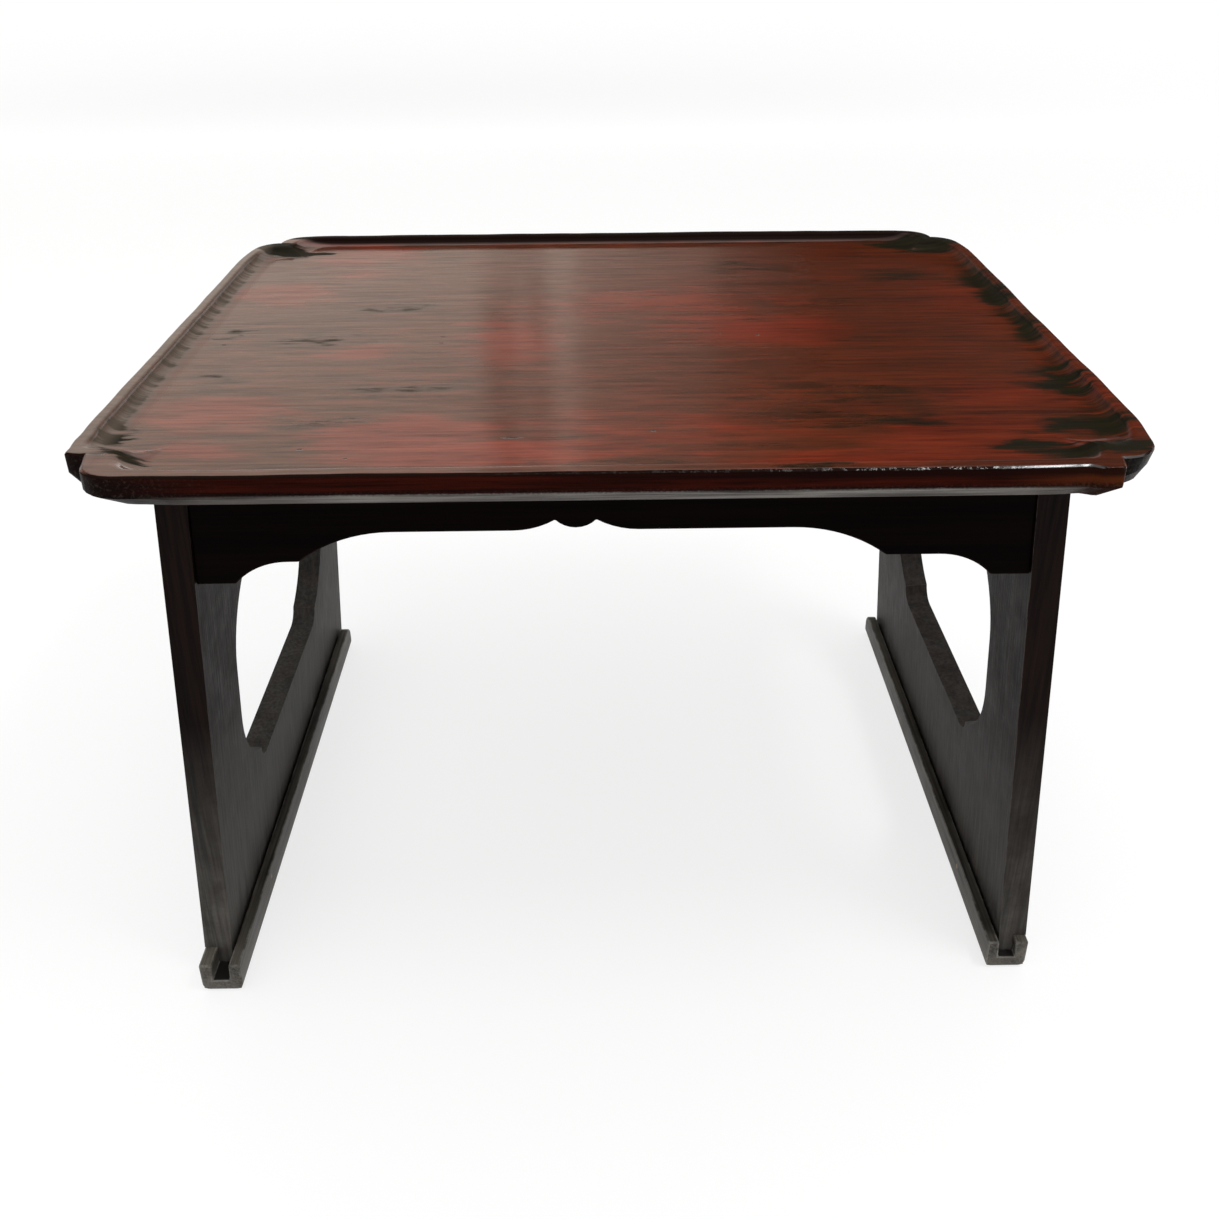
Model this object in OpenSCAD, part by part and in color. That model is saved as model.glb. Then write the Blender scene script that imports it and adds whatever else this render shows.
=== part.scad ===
// Low dining table of lacquered wood, of the kind whose two ends stand on boards.
// A one-piece top with a carved rim and notched corners sits on two pierced leg
// boards. The boards splay a little, stand in grooved foot rails, and are tied
// together under the top by a scalloped apron in front and another behind.
// Origin on the floor under the middle of the top, +X to the right, +Y to the back.

/* [Tabletop] */
// Length of the top, from left to right
top_length = 440; // [400:1:480]
// Depth of the top, from front to back
top_depth = 337; // [315:1:360]
// Height of the rim above the floor
table_height = 296; // [270:1:320]
// Height of the upright face round the edge
edge_face = 9; // [7:0.5:12]
// Height of the bevel below that face
bevel_height = 6; // [4:0.5:8]
// Distance that the bevel runs in under the top
bevel_run = 5.5; // [3:0.5:9]
// Softening of the rim's outer arris
arris = 0.8; // [0.4:0.1:1.5]
// Width of the flat of the rim
rim_width = 5.5; // [4:0.5:8]
// Width of the cove between the rim and the tray
cove_width = 6; // [4:0.5:9]
// Depth of the tray below the rim
tray_depth = 5; // [3:0.5:6]

/* [Corner notches] */
// Distance from the table's edges to the tip of each notch
notch_in = 16.5; // [12:0.5:20]
// Length over which an edge eases away towards a notch
ease_length = 36; // [34:1:44]
// Distance that it has eased away where the notch cuts it
ease_drop = 6.5; // [5:0.5:8]
// Distance that the ridge behind a notch runs on past the cove into the tray
ridge_run = 11; // [5:0.5:12]
// Lean of the lobes towards each other at the tip of that ridge, in degrees
ridge_lean = 40; // [25:1:42]

/* [Leg boards] */
// Thickness of each leg board
leg_thickness = 13.5; // [11:0.5:16]
// Distance that a board's outer face stands in from the end of the top, at the floor
foot_inset = 11.75; // [7:0.25:18]
// Lean of each board from upright, in degrees
splay = 3.8; // [1:0.1:5]
// Distance that a board's edge stands in from the front of the top, at the top
leg_setback_top = 30.75; // [26:0.25:36]
// The same distance at the floor
leg_setback_foot = 24.75; // [21:0.25:31]
// Depth of the grooves under the top that house the boards and aprons
housing_depth = 3; // [2:0.5:4]

/* [Opening in each leg board] */
// Length of the opening, from front to back
opening_length = 188; // [150:1:204]
// Height of the opening
opening_height = 134; // [110:1:140]
// Height of its lower edge above the floor in the left board
left_opening_base = 72.5; // [60:0.5:88]
// The same height in the right board, which was cut a little higher
right_opening_base = 83.5; // [60:0.5:88]
// Straight stretch of each upright side
side_straight = 30; // [15:1:50]
// Distance from a side in to the cusp at each corner
cusp_inset = 27; // [15:0.5:32]
// Radius of the small round between a cusp and the level edge
cusp_round = 9; // [5:0.5:14]

/* [Aprons] */
// Thickness of each apron
apron_thickness = 9; // [7:0.5:12]
// Distance that an apron's face stands behind the leg boards' edges
apron_setback = 0.8; // [0:0.1:3]
// Depth of the apron at its middle, below the top
apron_waist = 28.5; // [22:0.5:34]
// Depth of the apron at the step in its edge
apron_step = 42.5; // [37:0.5:46]
// Depth of the apron where it meets a leg board
apron_foot = 53; // [48:0.5:58]
// Half length of the level stretch in the middle
arch_half = 85; // [60:1:100]
// Half length from the middle out to the steps
step_half = 125.5; // [115:0.5:135]
// Length of the foot of the apron beside a leg board
foot_length = 17; // [10:1:22]
// Length of the round that rises from that foot
foot_rise = 23; // [14:1:24]
// Distance that the middle is cut off centre, to the left
arch_shift = 9; // [0:1:14]
// Distance that the pendant is off centre, to the left
pendant_shift = 16; // [0:1:24]
// Half width of the pendant, out to its cusps
pendant_half = 8.7; // [6:0.1:12]
// Height of the cusps beside the pendant above the level stretch
cusp_rise = 5; // [3:0.5:8]
// Length of the curve from the level stretch up to a cusp
cusp_run = 18; // [12:1:24]
// Distance that the pendant hangs below its cusps
pendant_drop = 3.8; // [2:0.1:5]
// Thickness of the tongue at each end of an apron
apron_tongue = 5; // [4:0.5:6]
// Length of that tongue
tongue_length = 5; // [3:0.5:7]

/* [Foot rails] */
// Length that a foot rail has beyond the depth of its board
rail_overrun = 7.5; // [2:0.5:14]
// Distance that the left rail stands forward of the middle of the table
left_rail_forward = 7.5; // [-4:0.5:8]
// The same distance for the right rail
right_rail_forward = 0.5; // [-4:0.5:8]
// Height of each foot rail
rail_height = 17.5; // [15:0.5:21]
// Depth of the groove along each rail
groove_depth = 10; // [8:0.5:12]
// Width of the lip outside the groove
outer_lip = 6.5; // [5:0.5:9]
// Width of the lip inside the groove
inner_lip = 5.5; // [4:0.5:8]
// Gap that shrinkage has opened between a board and the inner lip
shrink_gap = 1.2; // [0.3:0.1:2]
// Radius along the rail's lower arrises
rail_round = 5; // [3:0.5:6]
// Radius under each end of a rail
rail_toe = 2.5; // [1.5:0.5:4]
// Radius along the top of a rail's rear end
rail_heel = 8; // [5:0.5:10]
// Thickness of the tongue along a board's foot
foot_tongue = 7; // [5.5:0.5:9]

/* [Pegs] */
// Diameter of the bamboo pegs
peg_diameter = 2.6; // [2:0.1:3]
// Distance of the outer rail pegs and leg pegs from the middle
peg_spacing = 92; // [70:1:100]
// Distance that a rail peg goes into the outer lip
rail_peg_bite = 3; // [2:0.5:4]
// Distance that an apron peg goes into the apron beyond its tongue
apron_peg_bite = 8; // [5:0.5:14]
// Distance of the upper apron pegs below the top
upper_peg = 12; // [8:0.5:14]
// Distance between the two pegs at each end of an apron
apron_peg_pitch = 22; // [16:0.5:26]
// Angle of the leg pegs from upright, in degrees
leg_peg_angle = 35; // [30:1:40]
// Distance that a leg peg goes into the top
leg_peg_bite = 3.5; // [2:0.5:4]
// Distance that a leg peg's head stands out of the board
leg_peg_head = 0.6; // [0.3:0.1:1.5]

/* [Hidden] */
$fn = 48;
// Clearance between a piece and the groove that houses it
fit = 0.15;
// Clearance round a peg in its hole
peg_fit = 0.05;
// Overrun of a cutting shape past the face that it cuts
cut = 1;
// Distance of each hub of the top's end faces from the nearest edges
hub_inset = 100;
// Distance between the boards' outer faces at the floor
foot_spread = top_length - 2 * foot_inset;
leg_depth_top = top_depth - 2 * leg_setback_top;
leg_depth_foot = top_depth - 2 * leg_setback_foot;
rail_length = leg_depth_foot + rail_overrun;
underside = table_height - edge_face - bevel_height;
housing_top = underside + housing_depth;
rail_top = rail_height;
groove_floor = rail_height - groove_depth;
// Segments in an arc of an outline
arc_steps = 10;
// Share of a board's thickness that a leg peg crosses before it meets the top
leg_peg_lean = 0.8;

// Distance of a right-hand board's outer face from the middle, at height z
function outer_x(z) = foot_spread / 2 - z * tan(splay);
// Distance of its inner face from the middle, measured level
function inner_x(z) = outer_x(z) - leg_thickness / cos(splay);

// Circular arc that leaves point a level and ends at point b
function level_arc(a, b, steps = arc_steps) =
    let (
        run = b.x - a.x,
        rise = b.y - a.y,
        radius = (run * run + rise * rise) / (2 * abs(rise)),
        turn = asin(min(1, abs(run) / radius))
    )
    [for (i = [0:steps])
        [a.x + sign(run) * radius * sin(turn * i / steps),
         a.y + sign(rise) * radius * (1 - cos(turn * i / steps))]];
function backwards(list) = [for (i = [len(list) - 1:-1:0]) list[i]];
function moved(list, by) = [for (p = list) p + by];
function swapped(list) = [for (p = list) [p.y, p.x]];
function mirrored_x(list) = [for (p = list) [-p.x, p.y]];
function mirrored_y(list) = [for (p = list) [p.x, -p.y]];

// Outline of the top
// A corner is set out from the point where its two edges would meet. Each edge
// eases away from its line on a wide arc and turns round a lobe to the tip of the
// notch. An inset moves the whole outline inwards, run carries the tip on into the
// tray, and lean draws the two lobes together behind it, so that a ridge is left.
ease_radius = (ease_length * ease_length + ease_drop * ease_drop) / (2 * ease_drop);
function half_corner(inset, run, lean) =
    let (
        tip = notch_in + inset + run,
        ease_start = notch_in + ease_length + run / 2,
        wide = ease_radius - inset,
        from_ease = [tip - ease_start, tip - ease_radius],
        towards = [cos(lean), -sin(lean)],
        lobe = (wide * wide - from_ease * from_ease) / (2 * (from_ease * towards + wide)),
        middle = [tip, tip] + lobe * towards,
        meet = 180 + atan2(ease_radius - middle.y, ease_start - middle.x),
        lobe_arc = [for (i = [0:8])
            let (angle = 180 - lean + (meet - 180 + lean) * i / 8)
            middle + lobe * [cos(angle), sin(angle)]],
        wide_arc = [for (i = [1:6])
            let (angle = meet + (270 - meet) * i / 6)
            [ease_start + wide * cos(angle), ease_radius + wide * sin(angle)]]
    )
    concat(lobe_arc, wide_arc);
function corner(inset, run, lean) =
    let (half = half_corner(inset, run, lean))
    concat(backwards(swapped(half)), [for (i = [1:len(half) - 1]) half[i]]);
function top_outline(inset, run, lean) =
    let (
        front_left = moved(corner(inset, run, lean), [-top_length / 2, -top_depth / 2]),
        front_right = backwards(mirrored_x(front_left)),
        back_right = backwards(mirrored_y(front_right)),
        back_left = backwards(mirrored_y(front_left))
    )
    concat(front_left, front_right, back_right, back_left);
function ring(inset, z, run = 0, lean = 0) =
    [for (p = top_outline(inset, run, lean)) [p.x, p.y, z]];

// End face of the loft below, as triangles that turn the same way as the outline
// An end face is hollow at the notches, so each corner of it fans out from a hub
// well inside that corner, and the rectangle between the four hubs fills the rest.
function end_face(start, hub, count) =
    let (per_corner = count / 4)
    concat(
        [for (j = [0:count - 1])
            [start + j, start + (j + 1) % count, hub + floor(j / per_corner)]],
        [for (c = [0:3])
            let (next = (c + 1) % 4)
            [start + next * per_corner, hub + next, hub + c]],
        [[hub, hub + 1, hub + 2], [hub, hub + 2, hub + 3]]
    );

// Solid through a stack of outlines of the top
module lofted(rings) {
    count = len(rings[0]);
    last = len(rings) - 1;
    hub = [top_length / 2, top_depth / 2] - [hub_inset, hub_inset];
    hubs = [for (r = [rings[0], rings[last]]) for (c = [0:3])
        [hub.x * (c == 1 || c == 2 ? 1 : -1), hub.y * (c < 2 ? -1 : 1), r[0].z]];
    points = concat([for (r = rings) for (p = r) p], hubs);
    low = count * (last + 1);
    bottom = end_face(0, low, count);
    top = [for (t = end_face(last * count, low + 4, count)) backwards(t)];
    sides = [for (i = [0:last - 1]) for (j = [0:count - 1]) for (half = [0, 1])
        let (
            a = i * count + j,
            b = i * count + (j + 1) % count
        )
        half == 0 ? [a, a + count, b + count] : [a, b + count, b]];
    polyhedron(points, concat(bottom, sides, top), convexity = 6);
}

// Cove from the rim down to the tray, steep at the rim and level at the tray
// Behind each notch the ridge reaches a little further in with each step down.
cove_steps = 4;
cove = [for (i = [0:cove_steps])
    let (
        angle = 90 * i / cove_steps,
        share = 0.2 + 0.8 * i / cove_steps
    )
    ring(
        rim_width + cove_width * (1 - cos(angle)),
        table_height - tray_depth * sin(angle),
        ridge_run * share,
        ridge_lean * share
    )];

module tabletop() {
    color("#5a2a1c")
    difference() {
        lofted(concat(
            [
                ring(bevel_run, underside),
                ring(0, underside + bevel_height),
                ring(0, table_height - arris),
                ring(arris, table_height)
            ],
            cove
        ));
        for (side = [-1, 1]) leg_housing(side);
        for (turn = [0, 180]) rotate(turn) apron_housing();
        leg_peg_holes();
    }
}

// Frame of a leg board
// side is 1 for the right-hand board and -1 for the left. Inside the frame x runs
// from 0 at the outer face to -leg_thickness at the inner face, z up the board.
module on_board(side) {
    mirror([side < 0 ? 1 : 0, 0, 0])
    translate([foot_spread / 2, 0, 0])
    rotate([0, -splay, 0])
    children();
}

// Half depth of a leg board at height z
function leg_half(z) =
    (leg_depth_foot + (leg_depth_top - leg_depth_foot) * z / housing_top) / 2;

// Slab that leans as a board does, with its front and back edges tapered
module leaning_slab(side, outer, inner, grow) {
    reach = table_height + 2 * cut;
    on_board(side)
    translate([outer, 0, 0])
    rotate([90, 0, -90])
    linear_extrude(outer - inner)
    polygon([
        [-leg_half(-reach) - grow, -reach],
        [leg_half(-reach) + grow, -reach],
        [leg_half(reach) + grow, reach],
        [-leg_half(reach) - grow, reach]
    ]);
}

// Level slice of space between two heights
module level_slice(low, high) {
    translate([-top_length, -top_depth, low])
    cube([2 * top_length, 2 * top_depth, high - low]);
}

// Groove under the top for the upper edge of a leg board
module leg_housing(side) {
    intersection() {
        leaning_slab(side, fit, -leg_thickness - fit, fit);
        level_slice(underside - cut, housing_top);
    }
}

// Distance up each board to the middle of its opening
function opening_middle(side) =
    (side < 0 ? left_opening_base : right_opening_base) + opening_height / 2;

// Outline of the opening, centred, with a cusp at each corner
function opening_outline() =
    let (
        half = opening_height / 2,
        cusp_y = half - cusp_round,
        cusp_x = opening_length / 2 - cusp_inset,
        side_arc = swapped(level_arc(
            [side_straight / 2, opening_length / 2], [cusp_y, cusp_x])),
        small_arc = [for (i = [0:6])
            [cusp_x - cusp_round + cusp_round * cos(15 * i),
             cusp_y + cusp_round * sin(15 * i)]],
        quarter = concat(side_arc, [for (i = [1:6]) small_arc[i]]),
        upper = concat(quarter, backwards(mirrored_x(quarter)))
    )
    concat(upper, backwards(mirrored_y(upper)));

// Slot in a board's inner face that takes the tongue of an apron
module apron_slot(side) {
    half = apron_tongue / 2 + fit;
    deep = tongue_length + fit;
    low = underside - apron_foot + fit;
    on_board(side)
    translate([-leg_thickness - cut, -half, low])
    cube([deep + cut, 2 * half, table_height]);
}

module leg_board(side) {
    color("#2a1512")
    difference() {
        union() {
            intersection() {
                leaning_slab(side, 0, -leg_thickness, 0);
                level_slice(rail_top, housing_top);
            }
            intersection() {
                leaning_slab(side, -leg_thickness + foot_tongue, -leg_thickness, 0);
                level_slice(groove_floor, rail_top + cut);
            }
        }
        on_board(side)
        translate([cut, 0, opening_middle(side)])
        rotate([90, 0, -90])
        linear_extrude(leg_thickness + 2 * cut)
        polygon(opening_outline());
        for (end = [-1, 1]) translate([0, end * apron_middle, 0]) apron_slot(side);
        leg_peg_holes();
        apron_peg_holes();
        rail_peg_holes();
    }
}

module left_leg_board() {
    leg_board(-1);
}

module right_leg_board() {
    leg_board(1);
}

// Distance of an apron's front face, and of its middle plane, from the centre
apron_face = leg_half(underside) - apron_setback;
apron_middle = apron_face - apron_thickness / 2;

// Lower edge of the front apron from left to right, as x and height
// From each leg board it runs level along a foot, rises on a short round, steps,
// rises on a long round to the level stretch, and meets the pendant in a cusp.
waist_z = underside - apron_waist;
step_z = underside - apron_step;
foot_z = underside - apron_foot;
foot_x = inner_x(foot_z) - foot_length;
function apron_edge() =
    let (
        left_foot = backwards(level_arc([-foot_x + foot_rise, step_z], [-foot_x, foot_z])),
        right_foot = level_arc([foot_x - foot_rise, step_z], [foot_x, foot_z]),
        left_arch = backwards(level_arc(
            [-arch_shift - arch_half, waist_z], [-arch_shift - step_half, step_z])),
        right_arch = level_arc(
            [-arch_shift + arch_half, waist_z], [-arch_shift + step_half, step_z]),
        left_cusp = level_arc(
            [-pendant_shift - pendant_half - cusp_run, waist_z],
            [-pendant_shift - pendant_half, waist_z + cusp_rise], 5),
        right_cusp = backwards(level_arc(
            [-pendant_shift + pendant_half + cusp_run, waist_z],
            [-pendant_shift + pendant_half, waist_z + cusp_rise], 5)),
        low = [-pendant_shift, waist_z + cusp_rise - pendant_drop],
        left_pendant = backwards(level_arc(
            low, [-pendant_shift - pendant_half, waist_z + cusp_rise], 4)),
        right_pendant = level_arc(
            low, [-pendant_shift + pendant_half, waist_z + cusp_rise], 4)
    )
    concat(
        [[-top_length / 2, foot_z]], left_foot, left_arch, left_cusp,
        [for (i = [1:4]) left_pendant[i]], [for (i = [1:3]) right_pendant[i]],
        right_cusp, right_arch, right_foot, [[top_length / 2, foot_z]]
    );

// Apron blank of a given thickness about its middle plane, up to height z
module apron_blank(thickness, z) {
    translate([0, -apron_middle + thickness / 2, 0])
    rotate([90, 0, 0])
    linear_extrude(thickness)
    polygon(concat(apron_edge(), [[top_length / 2, z], [-top_length / 2, z]]));
}

// Wedge of space between the leg boards, grown outwards by grow
module between_boards(grow) {
    reach = table_height + 2 * cut;
    widen = grow / cos(splay);
    translate([0, top_depth, 0])
    rotate([90, 0, 0])
    linear_extrude(2 * top_depth)
    polygon([
        [-inner_x(0) - widen, 0],
        [inner_x(0) + widen, 0],
        [inner_x(reach) + widen, reach],
        [-inner_x(reach) - widen, reach]
    ]);
}

module apron_housing() {
    intersection() {
        translate([0, -apron_middle, 0])
        translate([-top_length / 2, -apron_thickness / 2 - fit, underside - cut])
        cube([top_length, apron_thickness + 2 * fit, housing_depth + cut]);
        between_boards(fit);
    }
}

module apron() {
    color("#150a08")
    difference() {
        union() {
            intersection() {
                apron_blank(apron_thickness, housing_top);
                between_boards(0);
            }
            intersection() {
                apron_blank(apron_tongue, housing_top);
                between_boards(tongue_length);
                level_slice(foot_z + 2 * fit, housing_top);
            }
        }
        apron_peg_holes();
    }
}

module front_apron() {
    apron();
}

module rear_apron() {
    rotate(180) apron();
}

// Foot rails
// The groove leans with the board. The board's tongue stands on the groove's
// floor against the outer lip, and its shoulder rests on that lip.
groove_outer = outer_x(rail_top) - (leg_thickness - foot_tongue) / cos(splay);
rail_inner = inner_x(rail_top) - shrink_gap - inner_lip;
rail_outer = groove_outer + outer_lip;
rail_width = rail_outer - rail_inner;

module rail_section() {
    translate([0, rail_round]) square([rail_width, rail_height - rail_round]);
    translate([rail_round, 0]) square([rail_width - 2 * rail_round, rail_height]);
    for (x = [rail_round, rail_width - rail_round])
        translate([x, rail_round]) circle(rail_round);
}

// Seen from the side, front end first: both ends are eased underneath and the
// rear end is rounded off along its top
module rail_elevation(side) {
    forward = side < 0 ? left_rail_forward : right_rail_forward;
    front = -rail_length / 2 - forward;
    rear = front + rail_length;
    straight = rail_height - rail_heel - rail_toe;
    translate([front + rail_toe, 0]) square([rail_length - 2 * rail_toe, rail_toe + straight]);
    translate([front, rail_toe]) square([rail_length, straight]);
    translate([front, rail_toe]) square([rail_length - rail_heel, rail_height - rail_toe]);
    for (y = [front + rail_toe, rear - rail_toe])
        translate([y, rail_toe]) circle(rail_toe);
    translate([rear - rail_heel, rail_height - rail_heel]) circle(rail_heel);
}

module foot_rail(side) {
    color("#4a3a30")
    difference() {
        mirror([side < 0 ? 1 : 0, 0, 0])
        translate([rail_inner, 0, 0])
        intersection() {
            translate([0, rail_length, 0])
            rotate([90, 0, 0])
            linear_extrude(2 * rail_length)
            rail_section();
            rotate([90, 0, 90])
            linear_extrude(rail_width)
            rail_elevation(side);
        }
        intersection() {
            on_board(side)
            translate([-leg_thickness - shrink_gap, -rail_length, -rail_height])
            cube([foot_tongue + shrink_gap + fit, 2 * rail_length, 3 * rail_height]);
            level_slice(groove_floor, rail_top + cut);
        }
        rail_peg_holes();
    }
}

module left_foot_rail() {
    foot_rail(-1);
}

module right_foot_rail() {
    foot_rail(1);
}

// Pegs
// The same modules draw the pegs and, with a little extra radius and overrun at
// the head, the holes that they are driven into.
peg_radius = peg_diameter / 2;

// Rail pegs go level through the inner lip and the tongue into the outer lip
module rail_peg_set(extra, head) {
    length = rail_outer - outer_lip + rail_peg_bite - rail_inner;
    z = groove_floor + groove_depth / 2;
    for (side = [-1, 1]) for (y = [-1, 0, 1])
        mirror([side < 0 ? 1 : 0, 0, 0])
        translate([rail_inner - head, y * peg_spacing, z])
        rotate([0, 90, 0])
        cylinder(h = length + head, r = peg_radius + extra);
}

// Apron pegs are driven level from outside each leg board into the apron's end
module apron_peg_set(extra, head) {
    for (side = [-1, 1]) for (turn = [-1, 1]) for (row = [0, 1]) {
        z = underside - upper_peg - row * apron_peg_pitch;
        inner_end = inner_x(z) - apron_peg_bite;
        mirror([side < 0 ? 1 : 0, 0, 0])
        translate([inner_end, turn * apron_middle, z])
        rotate([0, 90, 0])
        cylinder(h = outer_x(z) + head - inner_end, r = peg_radius + extra);
    }
}

// Leg pegs are driven upwards from inside each board, through it and into the top
leg_peg_start = housing_top - leg_peg_lean * leg_thickness / tan(leg_peg_angle);
leg_peg_rise = housing_top + leg_peg_bite - leg_peg_start;
// Length at a peg's head that the slope of the board's face cuts across
peg_slope = peg_radius / tan(leg_peg_angle - splay);
module leg_peg_set(extra, head) {
    for (side = [-1, 1]) for (y = [-1, 0, 1])
        mirror([side < 0 ? 1 : 0, 0, 0])
        translate([inner_x(leg_peg_start), y * peg_spacing, leg_peg_start])
        rotate([0, leg_peg_angle, 0])
        translate([0, 0, -peg_slope - head])
        cylinder(
            h = leg_peg_rise / cos(leg_peg_angle) + peg_slope + head + extra,
            r = peg_radius + extra
        );
}

module rail_peg_holes() {
    rail_peg_set(peg_fit, cut);
}

module apron_peg_holes() {
    apron_peg_set(peg_fit, cut);
}

module leg_peg_holes() {
    leg_peg_set(peg_fit, cut + leg_peg_head);
}

module leg_pegs() {
    color("#b89a6a") leg_peg_set(0, leg_peg_head);
}

module apron_pegs() {
    color("#b89a6a") apron_peg_set(0, 0);
}

module rail_pegs() {
    color("#b89a6a") rail_peg_set(0, 0);
}

tabletop();
left_leg_board();
right_leg_board();
front_apron();
rear_apron();
left_foot_rail();
right_foot_rail();
leg_pegs();
apron_pegs();
rail_pegs();
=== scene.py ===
import math

import bmesh
import bpy
from mathutils import Matrix, Vector


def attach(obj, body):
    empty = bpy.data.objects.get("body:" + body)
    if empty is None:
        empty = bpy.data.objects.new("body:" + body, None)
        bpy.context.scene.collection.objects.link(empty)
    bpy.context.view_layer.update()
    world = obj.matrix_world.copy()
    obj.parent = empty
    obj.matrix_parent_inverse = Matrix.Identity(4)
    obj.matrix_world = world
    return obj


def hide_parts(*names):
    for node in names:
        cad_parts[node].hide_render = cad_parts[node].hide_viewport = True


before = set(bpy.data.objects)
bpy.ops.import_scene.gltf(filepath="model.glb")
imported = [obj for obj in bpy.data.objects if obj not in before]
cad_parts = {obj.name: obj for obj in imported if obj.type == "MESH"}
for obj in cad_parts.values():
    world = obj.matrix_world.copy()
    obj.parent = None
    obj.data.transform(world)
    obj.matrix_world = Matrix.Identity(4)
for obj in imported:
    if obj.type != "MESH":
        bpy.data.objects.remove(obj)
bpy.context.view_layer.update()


# Leg boards
# One thick plank at each end, sawn with the grain upright and pierced by a cusped
# opening, then finished in near-black brown lacquer. Handling has rounded the
# arrises, and dust has greyed the lacquer towards the floor.
LEG_WEAR = 0.0011
SAME_POINT = 0.00001
FLAT_ANGLE = math.radians(0.4)
SHARP_ANGLE = math.radians(28)
SMOOTH_ANGLE = math.radians(34)


def joined_copy(node):
    """Copies a sawn piece from the frame and joins the copy's loose triangles into
    whole faces. The copy is left in edit mode."""
    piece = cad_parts[node].copy()
    piece.data = piece.data.copy()
    piece.data.materials.clear()
    piece.name = "worn_" + node
    piece.parent = None
    piece.matrix_world = Matrix.Identity(4)
    bpy.context.collection.objects.link(piece)
    bpy.ops.object.select_all(action="DESELECT")
    bpy.context.view_layer.objects.active = piece
    piece.select_set(True)
    bpy.ops.object.mode_set(mode="EDIT")
    bpy.ops.mesh.select_mode(type="EDGE")
    bpy.ops.mesh.select_all(action="SELECT")
    bpy.ops.mesh.remove_doubles(threshold=SAME_POINT)
    bpy.ops.mesh.dissolve_limited(angle_limit=FLAT_ANGLE)
    return piece


def choose(piece, wanted):
    """Selects just those edges of a piece in edit mode that pass a test."""
    bpy.ops.mesh.select_all(action="DESELECT")
    mesh = bmesh.from_edit_mesh(piece.data)
    for edge in mesh.edges:
        if wanted(edge):
            edge.select_set(True)
    mesh.select_flush_mode()
    bmesh.update_edit_mesh(piece.data)


def round_chosen(piece, wear):
    """Rounds the chosen edges by wear, in metres, and marks the new faces as worn
    for the finish."""
    bpy.ops.mesh.bevel(offset=wear, segments=3, profile=0.55, clamp_overlap=True)
    mesh = bmesh.from_edit_mesh(piece.data)
    worn = mesh.faces.layers.float.get("worn") or mesh.faces.layers.float.new("worn")
    for face in mesh.faces:
        if face.select and min(edge.calc_length() for edge in face.edges) < wear:
            face[worn] = 1.0
    bmesh.update_edit_mesh(piece.data)


def smooth_flats(piece):
    """Leaves edit mode and shades the rounded arrises smoothly into flats that stay
    flat."""
    bpy.ops.mesh.select_all(action="DESELECT")
    bpy.ops.object.mode_set(mode="OBJECT")
    bpy.ops.object.shade_smooth_by_angle(angle=SMOOTH_ANGLE)
    flats = piece.modifiers.new("flats", "WEIGHTED_NORMAL")
    flats.keep_sharp = True
    flats.weight = 80
    bpy.ops.object.modifier_apply(modifier="flats")


def worn_copy(node, wear, shortest=0.0008):
    """A joined copy whose sharp arrises are rounded by wear. Edges under shortest, as
    round a peg hole, stay crisp."""
    piece = joined_copy(node)
    choose(piece, lambda edge: edge.calc_length() > shortest
           and edge.calc_face_angle(0) > SHARP_ANGLE)
    round_chosen(piece, wear)
    smooth_flats(piece)
    return piece


def shade(code):
    """An sRGB hex colour as the linear values that a node takes."""
    parts = [int(code[i:i + 2], 16) / 255 for i in (1, 3, 5)]
    return tuple(
        c / 12.92 if c <= 0.04045 else ((c + 0.055) / 1.055) ** 2.4 for c in parts) + (1.0,)


def add(finish, kind, inputs=(), stops=(), **settings):
    """Adds one node to a finish and gives its outputs. Its inputs are values, or
    outputs of other nodes, which are then linked."""
    node = finish.node_tree.nodes.new("ShaderNode" + kind)
    for name, value in settings.items():
        setattr(node, name, value)
    for place, (position, colour) in enumerate(stops):
        elements = node.color_ramp.elements
        element = elements.new(position) if place > 1 else elements[place]
        element.position, element.color = position, colour
    for name, value in dict(inputs).items():
        if isinstance(value, bpy.types.NodeSocket):
            finish.node_tree.links.new(value, node.inputs[name])
        else:
            node.inputs[name].default_value = value
    return node.outputs


def new_finish(name):
    """A finish with no nodes in it yet."""
    finish = bpy.data.materials.new(name)
    finish.use_nodes = True
    finish.node_tree.nodes.clear()
    return finish


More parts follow.
